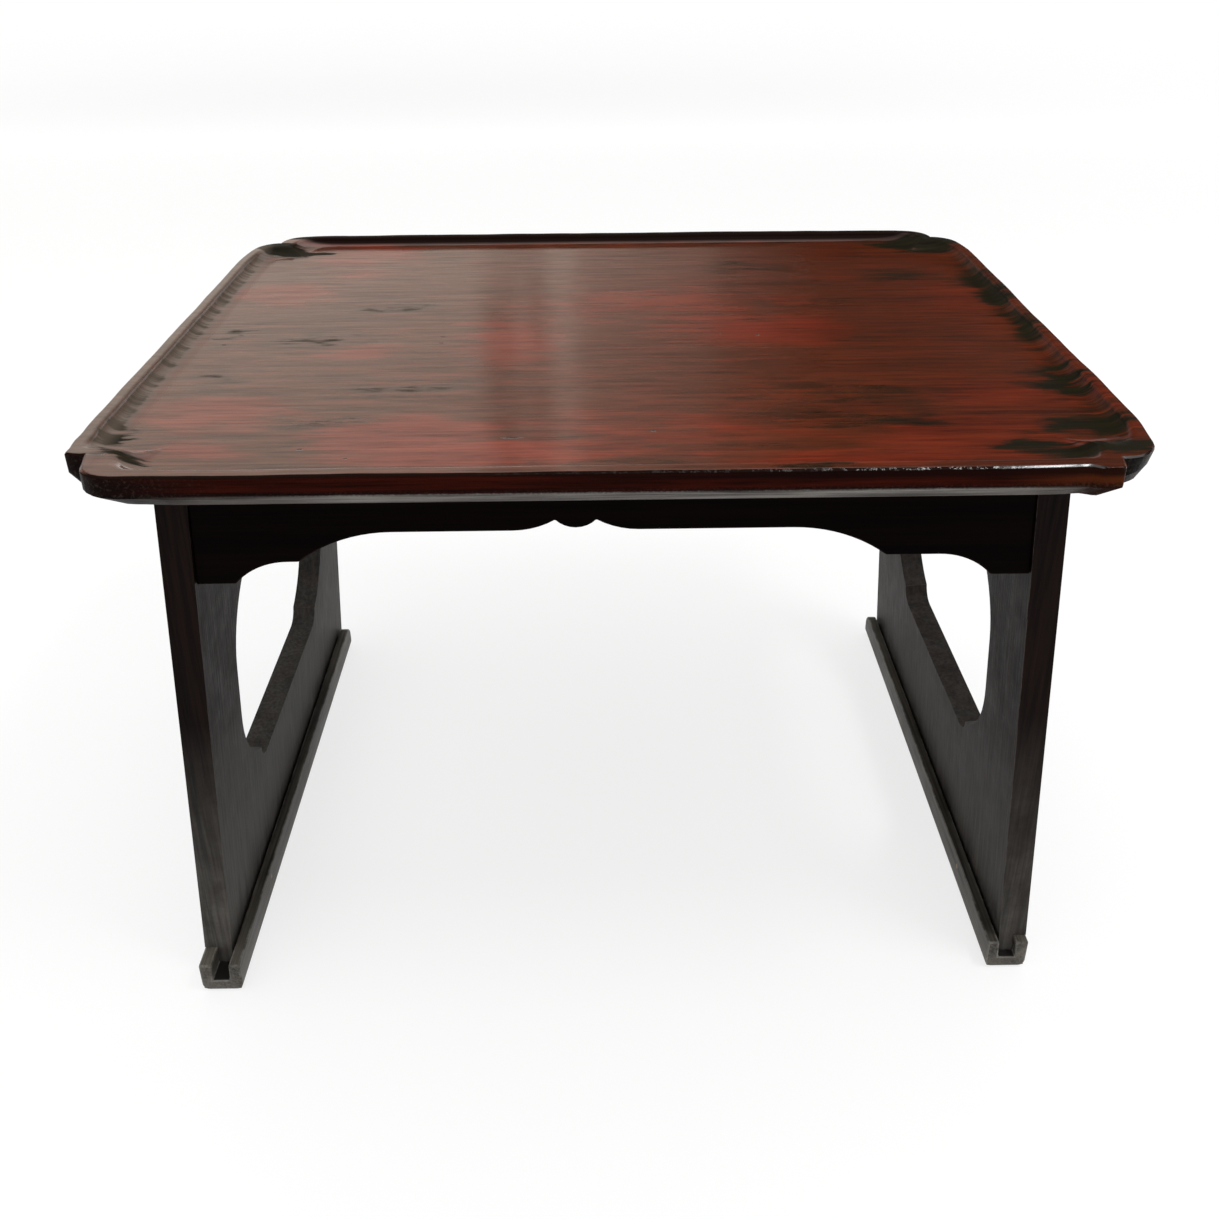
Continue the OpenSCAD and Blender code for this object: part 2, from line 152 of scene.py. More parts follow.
def dark_lacquer(
        name, grain_lines, figure_lines, deep, warm, dust, dust_top, bare, gloss, specular,
        relief=0.00012, trough=0.0):
    """Near-black brown lacquer over planed wood: streaks along the grain, dust that
    thins out up to dust_top, with its grey laid on thicker on the left as painted light, and
    browner worn arrises. grain_lines and figure_lines are how many streaks there are per metre on
    each axis. Faces that look up below trough, the bottom of a groove, get a painted shadow in dark
    grey."""
    finish = new_finish(name)
    sheet = add(finish, "TexCoord")
    place = sheet["Object"]
    grain_place = add(finish, "Mapping", {"Vector": place, "Scale": grain_lines})[0]
    grain = add(finish, "TexNoise", {
        "Vector": grain_place, "Scale": 1.0, "Detail": 4.0, "Roughness": 0.62})[0]
    figure_place = add(finish, "Mapping", {"Vector": place, "Scale": figure_lines})[0]
    figure = add(finish, "TexNoise", {
        "Vector": figure_place, "Scale": 1.0, "Detail": 3.0, "Distortion": 0.4})[0]
    both = add(finish, "Math", {0: grain, 1: figure}, operation="ADD")[0]
    streak = add(finish, "MapRange", {"Value": both, "From Min": 0.78, "From Max": 1.28})[0]
    wood = add(finish, "Mix", {0: streak, 6: shade(deep), 7: shade(warm)}, data_type="RGBA")[2]
    x, _, height = add(finish, "SeparateXYZ", {0: place})
    settling = add(finish, "MapRange", {"Value": height, "From Min": dust_top, "From Max": 0.0})[0]
    # Painted light: the dust's grey is laid on thicker where x is below zero, so the left board
    # looks lighter
    painted_light_left = add(finish, "MapRange", {
        "Value": x, "From Min": -0.05, "From Max": 0.05, "To Min": 0.8, "To Max": 0.56})[0]
    low = add(finish, "Math", {0: settling, 1: painted_light_left}, operation="MULTIPLY")[0]
    patch = add(finish, "TexNoise", {
        "Vector": place, "Scale": 55.0, "Detail": 5.0, "Roughness": 0.7})[0]
    fibre = add(finish, "MapRange", {
        "Value": grain, "From Min": 0.36, "From Max": 0.64, "To Min": 0.74, "To Max": 1.26})[0]
    caught = add(finish, "Math", {0: low, 1: patch}, operation="MULTIPLY")[0]
    dusty = add(finish, "Math", {0: caught, 1: fibre}, operation="MULTIPLY", use_clamp=True)[0]
    dusted = add(finish, "Mix", {0: dusty, 6: wood, 7: shade(dust)}, data_type="RGBA")[2]
    worn = add(finish, "Attribute", attribute_name="worn")["Fac"]
    rub = add(finish, "MapRange", {
        "Value": patch, "From Min": 0.42, "From Max": 0.62, "To Max": 0.8})[0]
    rubbed = add(finish, "Math", {0: worn, 1: rub}, operation="MULTIPLY")[0]
    edge = add(finish, "Mix", {0: rubbed, 6: dusted, 7: shade(bare)}, data_type="RGBA")[2]
    # Painted shadow: faces that look up low in a groove are turned dark grey
    looking_up = add(finish, "SeparateXYZ", {0: sheet["Normal"]})[2]
    level = add(finish, "MapRange", {"Value": looking_up, "From Min": 0.7, "From Max": 0.9})[0]
    under = add(finish, "MapRange", {
        "Value": height, "From Min": trough + 0.0005, "From Max": trough})[0]
    groove_painted_shadow = add(finish, "Math", {0: level, 1: under}, operation="MULTIPLY")[0]
    with_groove_shadow = add(finish, "Mix", {0: groove_painted_shadow, 6: edge, 7: shade("#1e1c1b")}, data_type="RGBA")[2]
    dull = add(finish, "MapRange", {
        "Value": patch, "From Min": 0.3, "From Max": 0.7,
        "To Min": gloss - 0.06, "To Max": gloss + 0.1})[0]
    bump = add(finish, "Bump", {"Height": both, "Strength": 0.8, "Distance": relief})[0]
    shader = add(finish, "BsdfPrincipled", {
        "Base Color": with_groove_shadow, "Roughness": dull, "Normal": bump,
        "Specular IOR Level": specular, "IOR": 1.5})[0]
    add(finish, "OutputMaterial", {0: shader})
    return finish


# Lacquer rubbed thin over upright grain: satin, black in shade, brown where it is worn.
# Grain lines are 1.9 mm apart and some 60 mm long, and the broader figure is 9 mm wide.
leg_lacquer = dark_lacquer(
    "leg_lacquer", grain_lines=(520, 520, 16), figure_lines=(110, 110, 7),
    deep="#070403", warm="#1c0f0c", dust="#706e69", dust_top=0.155, bare="#5a544e",
    gloss=0.46, specular=0.04, relief=0.0003)
for side in ("left", "right"):
    board = worn_copy(side + "_leg_board", LEG_WEAR)
    board.data.materials.append(leg_lacquer)
    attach(board, "root")
    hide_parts(side + "_leg_board")


# Foot rails
# A hardwood runner under each board, grooved to take the board's tongue, rounded
# below and at its rear end. Its lacquer has worn to grey-brown where feet rub it.
RAIL_WEAR = 0.0009
GROOVE_BELOW = 0.0085

# Dry, open-grained wood under rubbed lacquer: streaks of dust lie along the bar.
rail_lacquer = dark_lacquer(
    "rail_lacquer", grain_lines=(800, 14, 800), figure_lines=(120, 9, 120),
    deep="#1d1b18", warm="#5c574d", dust="#6e6b67", dust_top=0.03, bare="#7a7772",
    gloss=0.42, specular=0.1, trough=GROOVE_BELOW)
for side in ("left", "right"):
    rail = worn_copy(side + "_foot_rail", RAIL_WEAR, shortest=0.0004)
    rail.data.materials.append(rail_lacquer)
    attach(rail, "root")
    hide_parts(side + "_foot_rail")


# Aprons
# A thin board between the legs at front and back, its lower edge sawn to a
# scalloped line with a small pendant, and its face left almost black.
APRON_WEAR = 0.0009

# The same lacquer left thick and clean, so the grain only shows as a faint sheen.
apron_lacquer = dark_lacquer(
    "apron_lacquer", grain_lines=(16, 900, 900), figure_lines=(7, 110, 110),
    deep="#040202", warm="#0b0504", dust="#0b0504", dust_top=0.01, bare="#160c0a",
    gloss=0.42, specular=0.012)
for side in ("front", "rear"):
    apron = worn_copy(side + "_apron", APRON_WEAR)
    apron.data.materials.append(apron_lacquer)
    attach(apron, "root")
    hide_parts(side + "_apron")


# Tabletop
# One wide board carved from the solid: a rounded rim, a cove down to the sunk field,
# and a notch between two lobes at each corner. The knife left every edge a little
# wavy, and the rim's inner crest has been wiped round.
HALF_LENGTH, HALF_DEPTH, TOP_HEIGHT = 0.22, 0.1685, 0.296
INSIDE_BOX = 0.0001
UNDERSIDE = 0.281
RIM_FLAT = 0.2958
CREST_SPAN, ARRIS_SPAN, BEVEL_SPAN = (RIM_FLAT, 0.297), (0.2951, 0.297), (0.2805, 0.2880)
CREST_WEAR, ARRIS_WEAR, BEVEL_WEAR = 0.0016, 0.0003, 0.0009
CREST_RUB, CREST_RUB_REACH = 0.0028, 0.011
NOTCH = (0.2035, 0.1520)
EASED_RUN = 0.036
KNIFE_CUTS = 100


def take_out(piece, wanted):
    """Takes the faces that pass a test out of a piece, with the edges that only they
    had, and leaves their outlines chosen."""
    bpy.ops.mesh.select_mode(type="FACE")
    bpy.ops.mesh.select_all(action="DESELECT")
    mesh = bmesh.from_edit_mesh(piece.data)
    for face in mesh.faces:
        if wanted(face):
            face.select_set(True)
    bmesh.update_edit_mesh(piece.data)
    bpy.ops.mesh.delete(type="ONLY_FACE")
    bpy.ops.mesh.select_mode(type="EDGE")
    choose(piece, lambda edge: len(edge.link_faces) == 0)
    bpy.ops.mesh.delete(type="EDGE")
    choose(piece, lambda edge: len(edge.link_faces) == 1)


def near_outline(edge):
    """Whether an edge runs along a long side or an end of the top."""
    across = [abs(corner.co.y) for corner in edge.verts]
    along = [abs(corner.co.x) for corner in edge.verts]
    return max(across) > 0.15 and min(across) > 0.14 or min(along) > 0.2


top = joined_copy("tabletop")
# Cuts every three or four millimetres let the long edges waver
choose(top, lambda edge: edge.calc_length() > 0.06 and near_outline(edge))
bpy.ops.mesh.subdivide(number_cuts=KNIFE_CUTS)
# The flat of the underside is filled afresh between its outline and the grooves
take_out(top, lambda face: abs(face.normal.z) > 0.999
         and abs(face.calc_center_median().z - UNDERSIDE) < 0.0001)
bpy.ops.mesh.fill(use_beauty=True)
bpy.ops.mesh.dissolve_limited(angle_limit=FLAT_ANGLE)
# The flat of the rim is bridged again in short pieces between its two outlines
take_out(top, lambda face: face.normal.z > 0.99 and face.calc_center_median().z > RIM_FLAT)
bpy.ops.mesh.bridge_edge_loops()
bpy.ops.mesh.select_all(action="SELECT")
bpy.ops.mesh.normals_make_consistent(inside=False)


def is_sharp(edge):
    return edge.calc_face_angle(0) > SHARP_ANGLE and edge.calc_length() > 0.0004


def looks_inwards(edge):
    """Whether the slope beside an edge of the rim looks towards the middle of the top."""
    middle = (edge.verts[0].co + edge.verts[1].co) / 2
    slope = min(edge.link_faces, key=lambda face: face.normal.z)
    return slope.normal.x * middle.x + slope.normal.y * middle.y < 0


def between(edge, low, high):
    heights = [corner.co.z for corner in edge.verts]
    return low < min(heights) and max(heights) < high


def pull(shift, reach):
    """Moves what is chosen on the level, and drags its surroundings along within reach."""
    bpy.ops.transform.translate(
        value=(*shift, 0), use_proportional_edit=True, proportional_edit_falloff="SMOOTH",
        proportional_size=reach)


# At the front, wrists have rubbed the crest nearly three millimetres further in
choose(top, lambda edge: is_sharp(edge) and between(edge, *CREST_SPAN)
       and looks_inwards(edge) and all(corner.co.y < -0.15 for corner in edge.verts))
pull((0, CREST_RUB), CREST_RUB_REACH)
# The crest is worn most, the underside less, and the outer arris is still crisp
choose(top, lambda edge: is_sharp(edge) and between(edge, *CREST_SPAN) and looks_inwards(edge))
round_chosen(top, CREST_WEAR)
choose(top, lambda edge: is_sharp(edge) and between(edge, *BEVEL_SPAN))
round_chosen(top, BEVEL_WEAR)
choose(top, lambda edge: is_sharp(edge) and between(edge, *ARRIS_SPAN) and not looks_inwards(edge))
round_chosen(top, ARRIS_WEAR)

# The two front notches were cut off their marks, so each is drawn where it fell.
# A row gives a point on the outline, its shift, how far round it the wood follows,
# and the lowest and highest edges that are taken.
for at, shift, reach, low, high in (
        ((-0.2035, -0.1520), (-0.0062, 0.0056), 0.016, 0.28, 0.297),
        ((-0.1970, -0.1620), (-0.0050, -0.0020), 0.016, 0.28, 0.297),
        ((-0.2165, -0.1400), (-0.0018, 0.0000), 0.012, 0.28, 0.297),
        ((-0.2060, -0.1435), (-0.0020, -0.0055), 0.012, 0.28, 0.283),
        ((0.2035, -0.1520), (-0.0030, -0.0036), 0.014, 0.28, 0.297),
        ((0.1960, -0.1600), (-0.0020, -0.0050), 0.012, 0.28, 0.297),
        ((0.2110, -0.1475), (0.0002, -0.0044), 0.013, 0.293, 0.297),
        ((0.2050, -0.1460), (0.0020, -0.0065), 0.012, 0.28, 0.283)):
    choose(top, lambda edge: between(edge, low, high) and all(
        (corner.co.xy - Vector(at)).length < 0.005 for corner in edge.verts))
    pull(shift, reach)
smooth_flats(top)

# The knife's waver: a slow, uneven shift of the rim and the sides on each axis, while
# the field and the underside stay flat
rim = top.vertex_groups.new(name="rim")
rim.add([
    corner.index for corner in top.data.vertices if corner.co.z > 0.2812 and (
        corner.co.z > 0.2925 or abs(corner.co.x) > 0.2155 or abs(corner.co.y) > 0.164)], 1.0, "ADD")
for axis, length, amount, middle in (
        ("X", 0.045, 0.0012, 0.5), ("Y", 0.038, 0.0012, 0.5), ("Z", 0.052, 0.0009, 1.0)):
    knife = bpy.data.textures.new("knife_" + axis, "CLOUDS")
    knife.noise_scale = length
    knife.noise_depth = 2
    waver = top.modifiers.new("waver", "DISPLACE")
    waver.texture = knife
    waver.texture_coords = "LOCAL"
    waver.direction = axis
    waver.vertex_group = "rim"
    waver.strength = amount
    waver.mid_level = middle
    bpy.ops.object.modifier_apply(modifier="waver")
# Wavering must not carry the edge past its drawn size
most_x, most_y = HALF_LENGTH - INSIDE_BOX, HALF_DEPTH - INSIDE_BOX
for corner in top.data.vertices:
    corner.co.x = max(-most_x, min(most_x, corner.co.x))
    corner.co.y = max(-most_y, min(most_y, corner.co.y))
    corner.co.z = min(TOP_HEIGHT, corner.co.z)


def spots(finish, place, places):
    """How far a point lies within soft oval patches, each given as x and y, half
    length and half width in metres, and strength."""
    total = None
    for x, y, long, wide, strength in places:
        oval = add(finish, "Mapping", {
            "Vector": place, "Location": (-x / long, -y / wide, 0),
            "Scale": (1 / long, 1 / wide, 0)})[0]
        near = add(finish, "TexGradient", {"Vector": oval}, gradient_type="SPHERICAL")[1]
        patch = add(finish, "Math", {0: near, 1: strength}, operation="MULTIPLY")[0]
        total = add(finish, "Math", {0: total, 1: patch}, operation="ADD")[0] if total else patch
    return total


# Transparent red lacquer over brown grain: orange where it is rubbed thin, olive
# black where patina lies, and glossy enough to hold the window's bars. Grain lines
# are 2.3 mm apart and some 40 mm long, and the figure between them 13 mm.
top_lacquer = new_finish("red_lacquer")
sheet = add(top_lacquer, "TexCoord")
place = sheet["Object"]
x, y, z = add(top_lacquer, "SeparateXYZ", {0: place})
fine_place = add(top_lacquer, "Mapping", {"Vector": place, "Scale": (24, 430, 60)})[0]
fine = add(top_lacquer, "TexNoise", {
    "Vector": fine_place, "Scale": 1.0, "Detail": 5.0, "Roughness": 0.72})[0]
broad_place = add(top_lacquer, "Mapping", {"Vector": place, "Scale": (5, 75, 20)})[0]
broad = add(top_lacquer, "TexNoise", {
    "Vector": broad_place, "Scale": 1.0, "Detail": 4.0, "Distortion": 0.5})[0]
lines = add(top_lacquer, "Math", {0: broad, 1: 0.25, 2: fine}, operation="MULTIPLY_ADD")[0]
streak = add(top_lacquer, "MapRange", {"Value": lines, "From Min": 0.39, "From Max": 0.86})[0]
# Places of patches are shifted unevenly, so that no patch keeps an oval outline
drift_place = add(top_lacquer, "Mapping", {"Vector": place, "Scale": (26, 110, 10)})[0]
drift = add(top_lacquer, "TexNoise", {
    "Vector": drift_place, "Scale": 1.0, "Detail": 4.0, "Roughness": 0.6})["Color"]
centred = add(top_lacquer, "VectorMath", {0: drift, 1: (0.5, 0.5, 0.5)}, operation="SUBTRACT")[0]
ragged = add(top_lacquer, "VectorMath", {
    0: centred, 1: (0.07, 0.02, 0.0), 2: place}, operation="MULTIPLY_ADD")[0]
ragged_streak = add(top_lacquer, "Math", {0: streak, 1: 0.36}, operation="MULTIPLY")[0]

# Patches rubbed thin and orange
rubbed_at = spots(top_lacquer, ragged, [
    (-0.150, 0.140, 0.050, 0.034, 1.8), (-0.180, 0.065, 0.034, 0.028, 1.8),
    (-0.172, -0.098, 0.040, 0.024, 1.6), (-0.095, -0.120, 0.050, 0.022, 1.7),
    (-0.176, -0.133, 0.028, 0.012, 1.5), (-0.060, -0.141, 0.080, 0.020, 1.6),
    (-0.122, -0.026, 0.034, 0.014, 1.2), (-0.050, -0.010, 0.030, 0.060, 0.9),
    (-0.140, 0.100, 0.030, 0.016, 0.8), (0.080, 0.000, 0.070, 0.030, 1.2),
    (0.192, 0.045, 0.040, 0.060, 0.8), (0.178, -0.086, 0.045, 0.026, 1.3),
    (0.155, -0.130, 0.060, 0.030, 1.6), (0.106, -0.150, 0.060, 0.014, 1.2),
    (0.020, -0.120, 0.080, 0.030, 0.5), (0.030, 0.045, 0.090, 0.040, 0.7),
    (0.214, -0.090, 0.012, 0.080, 1.5)])
cloud_place = add(top_lacquer, "Mapping", {"Vector": place, "Scale": (34, 130, 10)})[0]
cloud = add(top_lacquer, "TexNoise", {
    "Vector": cloud_place, "Scale": 1.0, "Detail": 5.0, "Roughness": 0.6})[0]
broken = add(top_lacquer, "MapRange", {
    "Value": cloud, "From Min": 0.3, "From Max": 0.7, "To Min": -0.38, "To Max": 0.38})[0]
rubbed_cloud = add(top_lacquer, "Math", {0: rubbed_at, 1: broken}, operation="ADD")[0]
rubbed_sum = add(top_lacquer, "Math", {
    0: streak, 1: 0.25, 2: rubbed_cloud}, operation="MULTIPLY_ADD")[0]
rubbed = add(top_lacquer, "MapRange", {
    "Value": rubbed_sum, "From Min": 0.0, "From Max": 1.2}, interpolation_type="SMOOTHSTEP")[0]
# Patches of olive patina
patina_at = spots(top_lacquer, ragged, [
    (0.079, 0.105, 0.045, 0.022, 0.6), (0.104, 0.037, 0.040, 0.014, 0.5),
    (0.173, 0.088, 0.044, 0.026, 0.75), (0.108, -0.085, 0.065, 0.030, 0.62),
    (0.214, 0.045, 0.016, 0.018, 1.4), (0.215, 0.073, 0.022, 0.020, 1.0),
    (0.204, -0.071, 0.020, 0.026, 1.1), (0.197, -0.120, 0.034, 0.018, 1.5),
    (0.168, -0.137, 0.016, 0.008, 1.6), (0.186, -0.146, 0.028, 0.009, 1.5),
    (0.078, -0.160, 0.020, 0.006, 1.4), (-0.192, -0.145, 0.016, 0.008, 1.5),
    (-0.207, -0.122, 0.010, 0.014, 1.2), (0.209, -0.150, 0.016, 0.009, 2.0),
    (-0.143, -0.008, 0.036, 0.020, 1.0), (-0.118, 0.041, 0.044, 0.024, 0.7),
    (-0.188, 0.000, 0.024, 0.030, 0.8), (-0.181, -0.055, 0.028, 0.022, 0.7),
    (-0.098, -0.074, 0.044, 0.020, 0.7), (-0.124, -0.106, 0.026, 0.012, 0.9),
    (0.092, -0.112, 0.050, 0.014, 0.5), (0.133, -0.112, 0.024, 0.012, 0.7),
    (-0.199, 0.142, 0.026, 0.012, 2.4), (0.200, 0.146, 0.034, 0.018, 2.4),
    (0.213, 0.000, 0.012, 0.040, 0.8), (0.208, -0.075, 0.010, 0.020, 0.8)])
# Distance inside the edge, which eases away from its line towards the notches
across = add(top_lacquer, "Math", {0: x}, operation="ABSOLUTE")[0]
along = add(top_lacquer, "Math", {0: y}, operation="ABSOLUTE")[0]
ease_across = add(top_lacquer, "MapRange", {
    "Value": across, "From Min": NOTCH[0] - EASED_RUN, "From Max": NOTCH[0], "To Max": 0.08})[0]
ease_along = add(top_lacquer, "MapRange", {
    "Value": along, "From Min": NOTCH[1] - EASED_RUN, "From Max": NOTCH[1], "To Max": 0.08})[0]
drawn_across = add(top_lacquer, "Math", {
    0: ease_across, 1: ease_across, 2: along}, operation="MULTIPLY_ADD")[0]
drawn_along = add(top_lacquer, "Math", {
    0: ease_along, 1: ease_along, 2: across}, operation="MULTIPLY_ADD")[0]
from_ends = add(top_lacquer, "Math", {0: HALF_LENGTH, 1: drawn_along}, operation="SUBTRACT")[0]
from_sides = add(top_lacquer, "Math", {0: HALF_DEPTH, 1: drawn_across}, operation="SUBTRACT")[0]
inside = add(top_lacquer, "Math", {0: from_ends, 1: from_sides}, operation="MINIMUM")[0]
# Patina gathered in the cove under the rim, in a narrower line at the left
near_cove = add(top_lacquer, "MapRange", {
    "Value": inside, "From Min": 0.0110, "From Max": 0.021, "To Min": 1.0, "To Max": 0.0})[0]
below_rim = add(top_lacquer, "MapRange", {"Value": z, "From Min": 0.2949, "From Max": 0.2934})[0]
narrow_line = add(top_lacquer, "MapRange", {
    "Value": inside, "From Min": 0.0105, "From Max": 0.0150, "To Min": 1.0, "To Max": 0.0})[0]
on_left = add(top_lacquer, "MapRange", {"Value": x, "From Min": -0.13, "From Max": -0.17})[0]
near_rim = add(top_lacquer, "Mix", {0: on_left, 2: near_cove, 3: narrow_line})[0]
less_behind = add(top_lacquer, "MapRange", {
    "Value": y, "From Min": 0.11, "From Max": 0.14, "To Min": 1.0, "To Max": 0.4})[0]
in_hollow = add(top_lacquer, "Math", {0: near_rim, 1: less_behind}, operation="MULTIPLY")[0]
gathered = add(top_lacquer, "Math", {0: in_hollow, 1: below_rim}, operation="MULTIPLY")[0]
right_hand = add(top_lacquer, "MapRange", {
    "Value": x, "From Min": 0.1, "From Max": 0.2, "To Min": 0.7, "To Max": 0.5})[0]
in_cove = add(top_lacquer, "Math", {0: gathered, 1: right_hand}, operation="MULTIPLY")[0]
patina_all = add(top_lacquer, "Math", {0: patina_at, 1: in_cove}, operation="ADD")[0]
patina_cloud = add(top_lacquer, "Math", {0: patina_all, 1: broken}, operation="SUBTRACT")[0]
patina_sum = add(top_lacquer, "Math", {0: patina_cloud, 1: ragged_streak}, operation="SUBTRACT")[0]
patina_here = add(top_lacquer, "MapRange", {
    "Value": patina_sum, "From Min": -0.1, "From Max": 0.9}, interpolation_type="SMOOTHSTEP")[0]

# Colours, streaked along the grain
brown = add(top_lacquer, "Mix", {
    0: streak, 6: shade("#341a0d"), 7: shade("#5f2c18")}, data_type="RGBA")[2]
orange = add(top_lacquer, "Mix", {
    0: streak, 6: shade("#4c170d"), 7: shade("#832f17")}, data_type="RGBA")[2]
olive = add(top_lacquer, "Mix", {
    0: streak, 6: shade("#0b0a05"), 7: shade("#1f1b0d")}, data_type="RGBA")[2]
lacquer = add(top_lacquer, "Mix", {0: rubbed, 6: brown, 7: orange}, data_type="RGBA")[2]
# Greyer towards the left: partly faded lacquer, partly a painted sheen
left_hand = add(top_lacquer, "MapRange", {
    "Value": x, "From Min": -0.03, "From Max": -0.13, "To Max": 0.18})[0]
greyed = add(top_lacquer, "Mix", {
    0: left_hand, 6: lacquer, 7: shade("#38332a")}, data_type="RGBA")[2]

# Small dents, dark with dirt
pits = spots(top_lacquer, place, [
    (-0.084, -0.006, 0.0016, 0.0008, 1.0), (-0.084, -0.015, 0.0012, 0.0008, 1.0),
    (-0.193, -0.014, 0.0014, 0.0009, 1.0), (-0.042, -0.126, 0.005, 0.0008, 1.0),
    (-0.128, -0.135, 0.0015, 0.001, 1.0), (-0.108, -0.144, 0.001, 0.0008, 1.0),
    (0.017, -0.121, 0.0012, 0.0008, 1.0), (0.075, -0.008, 0.001, 0.0008, 1.0),
    (-0.206, -0.146, 0.004, 0.0006, 1.0)])
pitted = add(top_lacquer, "MapRange", {"Value": pits, "From Max": 0.5})[0]
# Painted shade: redder and darker to the right. A painted grey sheen on the left rim,
# and dark along the back rim and the front arris
shaded_side = add(top_lacquer, "MapRange", {
    "Value": x, "From Min": 0.06, "From Max": 0.15, "To Min": 0.0, "To Max": 0.66})[0]
dusky = add(top_lacquer, "Mix", {
    0: streak, 6: shade("#100603"), 7: shade("#53200c")}, data_type="RGBA")[2]
darkened = add(top_lacquer, "Mix", {0: shaded_side, 6: greyed, 7: dusky}, data_type="RGBA")[2]
aged = add(top_lacquer, "Mix", {0: patina_here, 6: darkened, 7: olive}, data_type="RGBA")[2]
# Painted sheen: the top of the left rim is mixed towards grey
left_rim = add(top_lacquer, "MapRange", {
    "Value": x, "From Min": -0.205, "From Max": -0.212, "To Max": 0.6})[0]
painted_sheen_rim = add(top_lacquer, "Mix", {
    0: left_rim, 6: aged, 7: shade("#5d5147")}, data_type="RGBA")[2]
back_rim = add(top_lacquer, "MapRange", {"Value": y, "From Min": 0.158, "From Max": 0.161})[0]
leaning = add(top_lacquer, "SeparateXYZ", {0: sheet["Normal"]})[1]
faces_front = add(top_lacquer, "MapRange", {
    "Value": leaning, "From Min": -0.3, "From Max": -0.45})[0]
at_front = add(top_lacquer, "MapRange", {"Value": y, "From Min": -0.135, "From Max": -0.140})[0]
front_arris = add(top_lacquer, "Math", {0: faces_front, 1: at_front}, operation="MULTIPLY")[0]
dark_rim = add(top_lacquer, "Math", {0: back_rim, 1: front_arris}, operation="MAXIMUM")[0]
rimmed = add(top_lacquer, "Mix", {
    0: dark_rim, 6: painted_sheen_rim, 7: shade("#160a06")}, data_type="RGBA")[2]
coloured = add(top_lacquer, "Mix", {0: pitted, 6: rimmed, 7: shade("#120b07")}, data_type="RGBA")[2]

# Fine scratches and a slow swell in the wood spread the window's bars a little
smear = add(top_lacquer, "TexNoise", {
    "Vector": place, "Scale": 38.0, "Detail": 3.0, "Roughness": 0.55})[0]
film = add(top_lacquer, "MapRange", {
    "Value": smear, "From Min": 0.35, "From Max": 0.7, "To Min": 0.07, "To Max": 0.16})[0]
grain_dent = add(top_lacquer, "Bump", {"Height": lines, "Strength": 0.6, "Distance": 0.00007})[0]
swell = add(top_lacquer, "TexNoise", {"Vector": place, "Scale": 14.0, "Detail": 1.0})[0]
swell_dent = add(top_lacquer, "Bump", {
    "Height": swell, "Strength": 0.5, "Distance": 0.0004, "Normal": grain_dent})[0]
pit_dent = add(top_lacquer, "Bump", {
    "Height": pitted, "Strength": 0.7, "Distance": 0.0005, "Normal": swell_dent}, invert=True)[0]

# Gloss of the coat: matt on patina, and dull on the back rim, at the right and on
# the front crest right of the bars
line_gloss = add(top_lacquer, "MapRange", {
    "Value": fine, "From Min": 0.36, "From Max": 0.6, "To Min": 0.75, "To Max": 1.0})[0]
matt = add(top_lacquer, "MapRange", {
    "Value": patina_here, "From Min": 0.5, "To Min": 1.0, "To Max": 0.05})[0]
field_gloss = add(top_lacquer, "Math", {0: line_gloss, 1: matt}, operation="MULTIPLY")[0]
dull_back = add(top_lacquer, "MapRange", {
    "Value": y, "From Min": 0.158, "From Max": 0.161, "To Min": 1.0, "To Max": 0.0})[0]
dull_right = add(top_lacquer, "MapRange", {
    "Value": x, "From Min": 0.08, "From Max": 0.18, "To Min": 1.0, "To Max": 0.25})[0]
dull_crest = add(top_lacquer, "MapRange", {
    "Value": x, "From Min": 0.196, "From Max": 0.203, "To Min": 1.0, "To Max": 0.1})[0]
looks_back = add(top_lacquer, "MapRange", {"Value": leaning, "From Min": 0.04, "From Max": 0.12})[0]
near_front = add(top_lacquer, "MapRange", {"Value": y, "From Min": -0.148, "From Max": -0.151})[0]
front_crest = add(top_lacquer, "Math", {0: looks_back, 1: near_front}, operation="MULTIPLY")[0]
right_of_bars = add(top_lacquer, "MapRange", {
    "Value": x, "From Min": -0.04, "From Max": 0.04, "To Max": 0.85})[0]
dull_there = add(top_lacquer, "Math", {0: front_crest, 1: right_of_bars}, operation="MULTIPLY")[0]
glossy_there = add(top_lacquer, "Math", {0: 1.0, 1: dull_there}, operation="SUBTRACT")[0]
dull_ends = add(top_lacquer, "Math", {0: dull_right, 1: dull_crest}, operation="MINIMUM")[0]
dull_side = add(top_lacquer, "Math", {0: dull_ends, 1: glossy_there}, operation="MINIMUM")[0]
dull_rims = add(top_lacquer, "Math", {0: dull_back, 1: dull_side}, operation="MINIMUM")[0]
flat_gloss = add(top_lacquer, "Math", {0: field_gloss, 1: dull_rims}, operation="MULTIPLY")[0]
# Along the front arris the coat is broken into glints, and whole near its right end
to_right = add(top_lacquer, "MapRange", {"Value": x, "From Min": -0.06, "From Max": 0.12})[0]
crumbs = add(top_lacquer, "TexNoise", {
    "Vector": place, "Scale": 520.0, "Detail": 3.0, "Roughness": 0.7})[0]
flecked = add(top_lacquer, "MapRange", {"Value": crumbs, "From Min": 0.52, "From Max": 0.60})[0]
whole_end = add(top_lacquer, "MapRange", {"Value": x, "From Min": 0.145, "From Max": 0.170})[0]
left_whole = add(top_lacquer, "Math", {0: flecked, 1: whole_end}, operation="MAXIMUM")[0]
arris_gloss = add(top_lacquer, "Math", {0: to_right, 1: left_whole}, operation="MULTIPLY")[0]
gloss = add(top_lacquer, "Mix", {0: front_arris, 2: flat_gloss, 3: arris_gloss})[0]
soft_arris = add(top_lacquer, "Math", {0: front_arris, 1: 0.16}, operation="MULTIPLY")[0]
